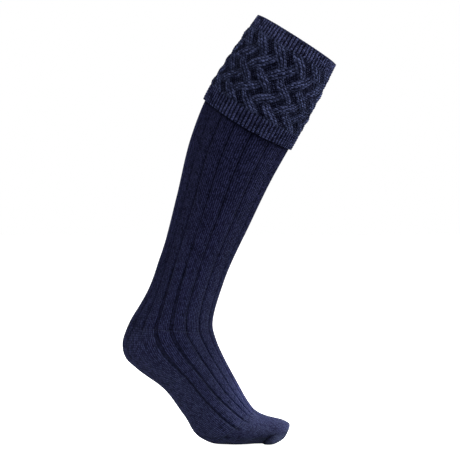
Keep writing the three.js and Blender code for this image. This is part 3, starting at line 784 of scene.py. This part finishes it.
def closedTube(name, profile, wool, node):
    # the profile goes once round the wall, and each of its rows is a place and a height function
    columns = band["ribs"] * band["pointsPerRib"]
    turns = np.arange(columns) / columns
    rings, uvRings, shadeRings = [], [], []
    run = 0.0
    previous = None
    for place, heightOf in profile:
        placeRow = place(turns) if callable(place) else np.full(columns, place)
        heights = heightOf(placeRow, turns)
        ring = raisedPoint(hemDip(placeRow, turns), 2 * np.pi * turns, heights)
        if previous is not None:
            run += float(np.mean(np.linalg.norm(ring - previous, axis=1)))
        rings.append(ring)
        shadeRings.append(bandPaintedShade(placeRow, turns))
        uvRings.append(np.stack([turns * uvBand[0], np.full(columns, run * uvBand[1])], axis=-1))
        previous = ring
    points = np.concatenate(rings)
    faces = gridFaces(0, len(rings), columns, True)
    lastRow = (len(rings) - 1) * columns
    faces += edgeFaces(list(range(lastRow, lastRow + columns)), list(range(columns)), True)
    makePiece(name, points, faces, wrappedUvs(faces, np.concatenate(uvRings), uvBand[0]),
              np.concatenate(shadeRings), [0] * len(faces), [wool], node)

def foldSink(turn):
    valley = 1 - np.abs(np.sin(np.pi * turn * band["ribs"]))
    corner = np.abs(np.cos(2 * np.pi * turn)) ** band["cornerPower"]
    return band["foldNotch"] * valley + band["cornerDrop"] * corner

def level(height):
    return lambda place, turn: np.full(turn.shape, height)

def makeFoldBand():
    profile = []
    top = cuff["gap"] + cuff["wall"]
    middle = (top - ribbing["wall"]) / 2
    reach = (top + ribbing["wall"]) / 2
    # over the fold in a half round, from the inside to the outside
    for swing in np.linspace(band["foldFrom"], band["foldTo"], band["foldRows"]):
        turnShare = math.radians(swing)
        centreHeight = middle + reach * math.cos(turnShare)
        upward = math.sin(turnShare)
        profile.append((lambda t, u=upward: band["foldReach"] * (1 - u) + u * foldSink(t),
                        lambda p, t, h=centreHeight, u=upward: h + (1 - u) * (bandHeight(p, t) - top)))
    for place in stepsBetween(band["foldReach"], cuff["foldBand"], band["rowStep"]):
        profile.append((place, bandHeight))
    profile += [(cuff["foldBand"], level(cuff["gap"])), (cuff["foldTurn"], level(cuff["gap"])),
                (cuff["foldTurn"], level(-ribbing["wall"]))]
    closedTube("fold_band_knit", profile, litFoldWool, "fold_band")

def makeEdgeBand():
    start, end = cuff["height"] - cuff["edgeBand"], cuff["height"]
    welt = band["welt"]
    profile = [(place, bandHeight) for place in stepsBetween(start, end - welt, band["rowStep"])]
    for swing in np.linspace(band["weltFrom"], band["weltTo"], band["weltRows"]):
        turnShare = math.radians(swing)
        lowering = (cuff["wall"] * 0.5) * (1 - math.cos(turnShare))
        profile.append((end - welt + welt * math.sin(turnShare),
                        lambda p, t, d=lowering: bandHeight(p, t) - d))
    profile += [(end - band["weltRaised"], level(cuff["gap"] + band["weltProud"])),
                (end - welt, level(cuff["gap"])), (start, level(cuff["gap"]))]
    closedTube("edge_band_knit", profile, bandWool, "edge_band")

# the woven lattice between the bands
lattice = {
    "repeats": 13, "rows": 5, "columnsPerRepeat": 56, "rowCount": 126, "innerRows": 8,
    "turn": math.radians(-2.5),   # how far round from the back of the leg the first crossing lies
    "strandWidth": 0.0116, "rise": 0.0036, "ground": 0.0008, "under": 0.24,
    "walesPerStrand": 3, "walesApart": 8,   # between strands, so that no two have the same stitch tones
    "course": 0.0034, "waleRelief": 0.0009, "stitchRelief": 0.0007,
    "liftPower": 0.8, "crownPower": 2.2, "valleyPower": 0.65, "dipShade": 0.8, "dipPower": 1.6,
    "uneven": 0.0005,     # how much one stitch stands out more than the next
    "unevenShade": 0.35,
    "bend": 0.44,         # how much more a strand slants where it passes over than on the whole
    "taper": 0.28,        # how much narrower it is where it passes under
    "purlRelief": 0.0010, "purlPitch": 0.0036, "purlShade": 0.80, "purlLeast": 0.45, "groundShade": 0.25,
    "sinkShade": 0.95, "sinkPower": 1.3,   # how dark the painted shade on a strand gets as it dives under
    "edgeBlend": 0.004, "edgePower": 0.7,  # how far the ribs of the bands run into the panel
}
latticeStart, latticeEnd = cuff["foldBand"], cuff["height"] - cuff["edgeBand"]
rowPitch = (latticeEnd - latticeStart) / lattice["rows"]
repeatAngle = 2 * math.pi / lattice["repeats"]
repeatLength = math.pi * (formSizes["calfDepth"] + formSizes["calfWidth"]) / 2 / lattice["repeats"]
strandRun = math.hypot(rowPitch, repeatLength / 2)   # along a strand from one crossing to the next

def strandPlace(sign, down, angle):
    # how many repeats round from the first strand of this slant, how far it passes over (1) or under (-1),
    # and how far down the panel in pairs of rows
    fall = (down - latticeStart - rowPitch / 2) / (2 * rowPitch)
    over = sign * np.cos(2 * np.pi * fall)
    bent = fall + sign * lattice["bend"] / (2 * np.pi) * np.sin(2 * np.pi * fall)
    return (angle - lattice["turn"]) / repeatAngle - sign * bent, over, fall

def strandAcross(place, nearest, over):
    # -1 to 1 from edge to edge of the strand
    slant = (1 + lattice["bend"] * over) * repeatLength / (2 * rowPitch)
    halfWidth = lattice["strandWidth"] / 2 * (1 - lattice["taper"] * (1 - over) / 2)
    return (place - nearest) * repeatLength / np.sqrt(1 + slant**2) / halfWidth

def strandStitches(across, fall):
    # columns and rows of stitches, for the relief and for the material
    return (across + 1) * lattice["walesPerStrand"] / 2, fall * 2 * strandRun / lattice["course"]

def uneven(column, row):
    # the same number from 0 to 1 for the same stitch each time; any large uneven factors do
    mixed = np.sin(np.floor(column) * 12.9898 + np.floor(row) * 78.233) * 43758.5453
    return mixed - np.floor(mixed)

def purlBump(down, angle):
    # rows of short bumps, each row half a stitch aside, and its unevenness
    row = down / lattice["purlPitch"] * 2
    column = angle / repeatAngle * repeatLength / lattice["purlPitch"] + 0.5 * np.floor(row)
    bump = np.abs(np.sin(np.pi * row)) * np.abs(np.sin(np.pi * column))
    return bump * (lattice["purlLeast"] + (1 - lattice["purlLeast"]) * uneven(column, row))

def strandHeight(sign, down, angle):
    place, over, fall = strandPlace(sign, down, angle)
    across = strandAcross(place, np.round(place), over)
    lift = lattice["under"] + (1 - lattice["under"]) * (0.5 + 0.5 * over) ** lattice["liftPower"]
    crown = np.sqrt(np.clip(1 - np.abs(across) ** lattice["crownPower"], 0, 1))
    column, row = strandStitches(across, fall)
    valley = 1 - np.abs(np.sin(np.pi * column))
    side = np.abs(2 * (column % 1.0) - 1)
    dip = 0.5 + 0.5 * np.cos(2 * np.pi * (row - 0.5 * side))
    chance = uneven(column + 40 * np.round(place) + 7 * sign, row - 0.5 * side)   # apart for each strand
    height = lattice["rise"] * lift - lattice["waleRelief"] * valley - lattice["stitchRelief"] * dip
    height = height - lattice["uneven"] * chance
    # painted shade between the stitches of a strand, and on the stitches that stand back
    gapShades = np.maximum(valley ** lattice["valleyPower"], lattice["dipShade"] * dip ** lattice["dipPower"])
    gapShades = np.maximum(gapShades, lattice["unevenShade"] * chance)
    onStrand = np.abs(across) < 1
    return np.where(onStrand, height * crown, -1), np.where(onStrand, gapShades, 0)

def makeLatticePanel():
    columns = lattice["repeats"] * lattice["columnsPerRepeat"]
    turns = np.arange(columns) / columns
    places = np.linspace(latticeStart, latticeEnd, lattice["rowCount"])
    placeGrid, turnGrid = np.meshgrid(places, turns, indexing="ij")
    angleGrid = 2 * np.pi * turnGrid
    falling, fallingGaps = strandHeight(1, placeGrid, angleGrid)
    rising, risingGaps = strandHeight(-1, placeGrid, angleGrid)
    bumps = purlBump(placeGrid, angleGrid)
    strands, bumpHeights = np.maximum(falling, rising), lattice["purlRelief"] * bumps
    relief = np.maximum(strands, bumpHeights)
    onGround = strands <= bumpHeights
    fromEdge = np.minimum(placeGrid - latticeStart, latticeEnd - placeGrid) / lattice["edgeBlend"]
    blend = np.clip(fromEdge, 0, 1) ** lattice["edgePower"]
    bandTop = bandHeight(placeGrid, turnGrid)
    heights = blend * (cuff["gap"] + lattice["ground"] + relief) + (1 - blend) * bandTop
    outer = raisedPoint(hemDip(placeGrid, turnGrid), angleGrid, heights)
    innerRows = lattice["innerRows"]
    innerPlaces = np.linspace(latticeStart, latticeEnd, innerRows)
    innerPlaceGrid, innerTurnGrid = np.meshgrid(innerPlaces, turns, indexing="ij")
    inner = raisedPoint(hemDip(innerPlaceGrid, innerTurnGrid), 2 * np.pi * innerTurnGrid,
                        np.full(innerPlaceGrid.shape, cuff["gap"]))
    size = placeGrid.size
    points = np.concatenate([outer.reshape(-1, 3), inner.reshape(-1, 3)])
    outerFaces = gridFaces(0, len(places), columns, True)
    innerFaces = gridFaces(size, innerRows, columns, True, flip=True)
    rims = edgeFaces(list(range(size, size + columns)), list(range(columns)), True)
    lastOuter, lastInner = size - columns, size + (innerRows - 1) * columns
    rims += edgeFaces(list(range(lastOuter, lastOuter + columns)),
                      list(range(lastInner, lastInner + columns)), True)
    # each face takes the stitches of the strand that is on top at its middle
    rowStep, turnStep = places[1] - places[0], 1 / columns
    row, column = np.meshgrid(np.arange(len(places) - 1), np.arange(columns), indexing="ij")
    middlePlace = places[0] + (row + 0.5) * rowStep
    middleAngle = 2 * np.pi * (column + 0.5) * turnStep
    top = np.argmax(np.stack([np.zeros(middlePlace.shape), strandHeight(1, middlePlace, middleAngle)[0],
                              strandHeight(-1, middlePlace, middleAngle)[0]]), axis=0).ravel()
    corners = ((0, 0), (1, 0), (1, 1), (0, 1))   # in the order that gridFaces walks a face
    uvs = np.zeros((row.size, 4, 2))
    for number, (rowAdd, columnAdd) in enumerate(corners):
        cornerPlace = places[0] + (row + rowAdd) * rowStep
        cornerTurn = (column + columnAdd) * turnStep
        ground = np.stack([cornerTurn * 2 * band["ribs"], cornerPlace / lattice["course"]], axis=-1)
        uvs[:, number] = ground.reshape(-1, 2)
        for kind, sign in ((1, 1), (2, -1)):
            middle = np.round(strandPlace(sign, middlePlace, middleAngle)[0])
            place, over, fall = strandPlace(sign, cornerPlace, 2 * np.pi * cornerTurn)
            u, v = strandStitches(strandAcross(place, middle, over), fall)
            chosen = top == kind
            uvs[chosen, number, 0] = (u + lattice["walesApart"] * middle).ravel()[chosen]
            uvs[chosen, number, 1] = v.ravel()[chosen]
    restCount = len(innerFaces) + len(rims)
    cornerUvs = np.concatenate([uvs.reshape(-1, 2), np.zeros((restCount * 4, 2))])
    faceSlots = list((top == 0).astype(int)) + [1] * restCount
    # painted shade: between stitches, on a strand as it dives under, and in the holes of the ground between
    # the purl bumps
    gapShades = np.where(falling > rising, fallingGaps, risingGaps)
    sunk = np.clip(1 - relief / lattice["rise"], 0, 1) ** lattice["sinkPower"]
    paintedShades = np.maximum(lattice["sinkShade"] * sunk, gapShades)
    paintedShades = np.where(onGround, lattice["groundShade"] + lattice["purlShade"] * (1 - bumps), paintedShades)
    paintedShades = np.clip(paintedShades, 0, 1)
    paintedShades = blend * paintedShades + (1 - blend) * bandPaintedShade(placeGrid, turnGrid)
    pointShades = np.concatenate([paintedShades.ravel(), np.zeros(innerPlaceGrid.size)])
    makePiece("lattice_panel_knit", points, outerFaces + innerFaces + rims, cornerUvs, pointShades,
              faceSlots, [strandWool, groundWool], "lattice_panel", len(rims))

makeFoldBand()
makeLatticePanel()
makeEdgeBand()
